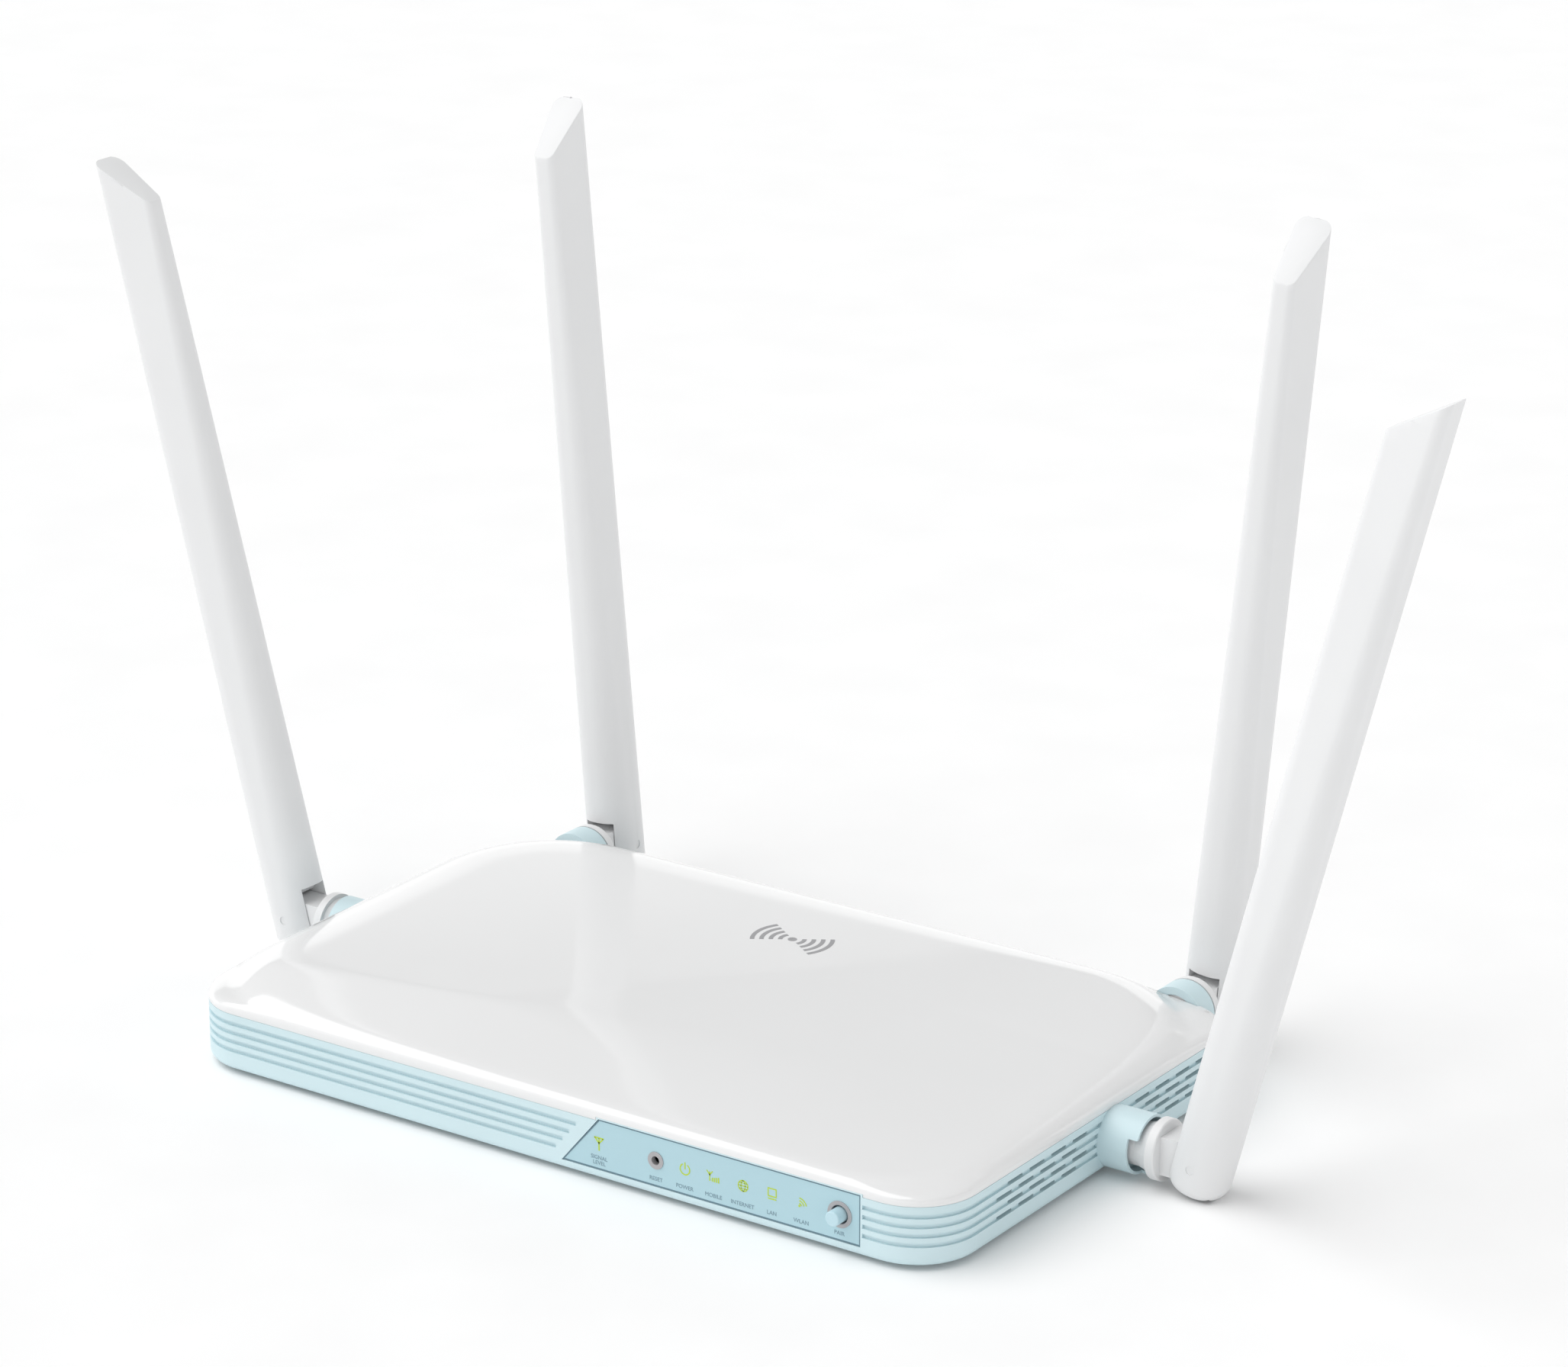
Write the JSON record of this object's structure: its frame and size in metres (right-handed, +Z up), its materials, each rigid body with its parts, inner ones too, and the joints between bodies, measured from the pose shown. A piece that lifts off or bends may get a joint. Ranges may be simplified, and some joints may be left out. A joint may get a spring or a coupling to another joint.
{
  "type": "wireless router",
  "caption": "Flat desktop network router with swivelling, folding blade antennas, a front light panel and rear ports.",
  "frame": {"origin": "centre of the case's underside, midway between the mouths of its two wall-mount keyholes", "axes": "+Z up, -Y towards the front light panel, +X to the right as seen from the front"},
  "size_m": [0.3308, 0.1409, 0.1841],
  "materials": {
    "base_plastic": "satin pale blue",
    "cover_plastic": "gloss white",
    "panel_film": "pale blue film",
    "ring_plastic": "silver grey",
    "jack_plastic": "black",
    "contact_metal": "gold plated",
    "foot_rubber": "matte grey",
    "label_film": "blank white",
    "clear_plastic": "translucent",
    "board_laminate": "green solder mask",
    "shield_metal": "tin plated",
    "sink_metal": "anodised",
    "lead_jacket": "black",
    "antenna_plastic": "satin white"
  },
  "bodies": {
    "case": {"base_case": "base_plastic", "top_cover": "cover_plastic", "front_panel": "panel_film", "reset_ring": "ring_plastic", "button_ring": "ring_plastic", "lan_jack": "jack_plastic", "wan_jack": "jack_plastic", "dc_jack": "jack_plastic", "dc_jack_pin": "contact_metal", "rubber_feet": "foot_rubber", "rating_label": "label_film", "pair_switch": "jack_plastic", "reset_switch": "jack_plastic", "light_guide": "clear_plastic", "indicator_leds": "clear_plastic", "main_board": "board_laminate", "processor_chip": "jack_plastic", "memory_chips": "jack_plastic", "cellular_shield": "shield_metal", "wireless_shield": "shield_metal", "magnetics": "jack_plastic", "inductors": "jack_plastic", "sim_socket": "shield_metal", "capacitors": "shield_metal", "heat_sink": "sink_metal", "jack_contacts": "contact_metal", "power_switch": "jack_plastic", "case_screws": "shield_metal", "board_screws": "shield_metal", "rf_connectors": "contact_metal", "lead_left": "lead_jacket", "lead_back_left": "lead_jacket", "lead_back_right": "lead_jacket", "lead_right": "lead_jacket"},
    "pair_button": {"pair_button": "base_plastic", "pair_plunger": "ring_plastic"},
    "reset_plunger": {"reset_plunger": "ring_plastic"},
    "power_button": {"power_button": "ring_plastic"},
    "knuckle_left": {"knuckle_left": "antenna_plastic"},
    "blade_left": {"blade_left": "antenna_plastic", "hinge_pin_left": "antenna_plastic", "element_left": "board_laminate"},
    "knuckle_right": {"knuckle_right": "antenna_plastic"},
    "blade_right": {"blade_right": "antenna_plastic", "hinge_pin_right": "antenna_plastic", "element_right": "board_laminate"},
    "knuckle_back_left": {"knuckle_back_left": "antenna_plastic"},
    "blade_back_left": {"blade_back_left": "antenna_plastic", "hinge_pin_back_left": "antenna_plastic", "element_back_left": "board_laminate"},
    "knuckle_back_right": {"knuckle_back_right": "antenna_plastic"},
    "blade_back_right": {"blade_back_right": "antenna_plastic", "hinge_pin_back_right": "antenna_plastic", "element_back_right": "board_laminate"}
  },
  "joints": [
    {"name": "pair_press", "type": "slide", "parent": "case", "child": "pair_button", "axis": [0, 1, 0], "range_m": [0, 0.0008], "stiffness_N_per_m": 1800},
    {"name": "reset_press", "type": "slide", "parent": "case", "child": "reset_plunger", "axis": [0, 1, 0], "range_m": [0, 0.0005], "stiffness_N_per_m": 2500},
    {"name": "power_press", "type": "slide", "parent": "case", "child": "power_button", "axis": [0, -1, 0], "range_m": [0, 0.0018], "stiffness_N_per_m": 1200},
    {"name": "swivel_left", "type": "hinge", "parent": "case", "child": "knuckle_left", "pos_m": [-0.095, 0.0057, 0.0065], "axis": [-1, 0, 0], "range_deg": [-90, 45]},
    {"name": "fold_left", "type": "hinge", "parent": "knuckle_left", "child": "blade_left", "pos_m": [-0.1164, 0.0057, 0.0065], "axis": [0, -1, 0], "range_deg": [-23.2, 76.8]},
    {"name": "swivel_right", "type": "hinge", "parent": "case", "child": "knuckle_right", "pos_m": [0.095, 0.0057, 0.0065], "axis": [-1, 0, 0], "range_deg": [-90, 45]},
    {"name": "fold_right", "type": "hinge", "parent": "knuckle_right", "child": "blade_right", "pos_m": [0.1164, 0.0057, 0.0065], "axis": [0, 1, 0], "range_deg": [-23.2, 76.8]},
    {"name": "swivel_back_left", "type": "hinge", "parent": "case", "child": "knuckle_back_left", "pos_m": [-0.0789, 0.059, 0.0108], "axis": [0, -1, 0], "range_deg": [-23.1, 86.9]},
    {"name": "fold_back_left", "type": "hinge", "parent": "knuckle_back_left", "child": "blade_back_left", "pos_m": [-0.0789, 0.0728, 0.0108], "axis": [-0.9985, 0, -0.0541], "range_deg": [-6.4, 93.6]},
    {"name": "swivel_back_right", "type": "hinge", "parent": "case", "child": "knuckle_back_right", "pos_m": [0.0789, 0.059, 0.0108], "axis": [0, 1, 0], "range_deg": [-26.1, 83.9]},
    {"name": "fold_back_right", "type": "hinge", "parent": "knuckle_back_right", "child": "blade_back_right", "pos_m": [0.0789, 0.0728, 0.0108], "axis": [-0.9943, 0, 0.1063], "range_deg": [-6.9, 93.1]}
  ]
}
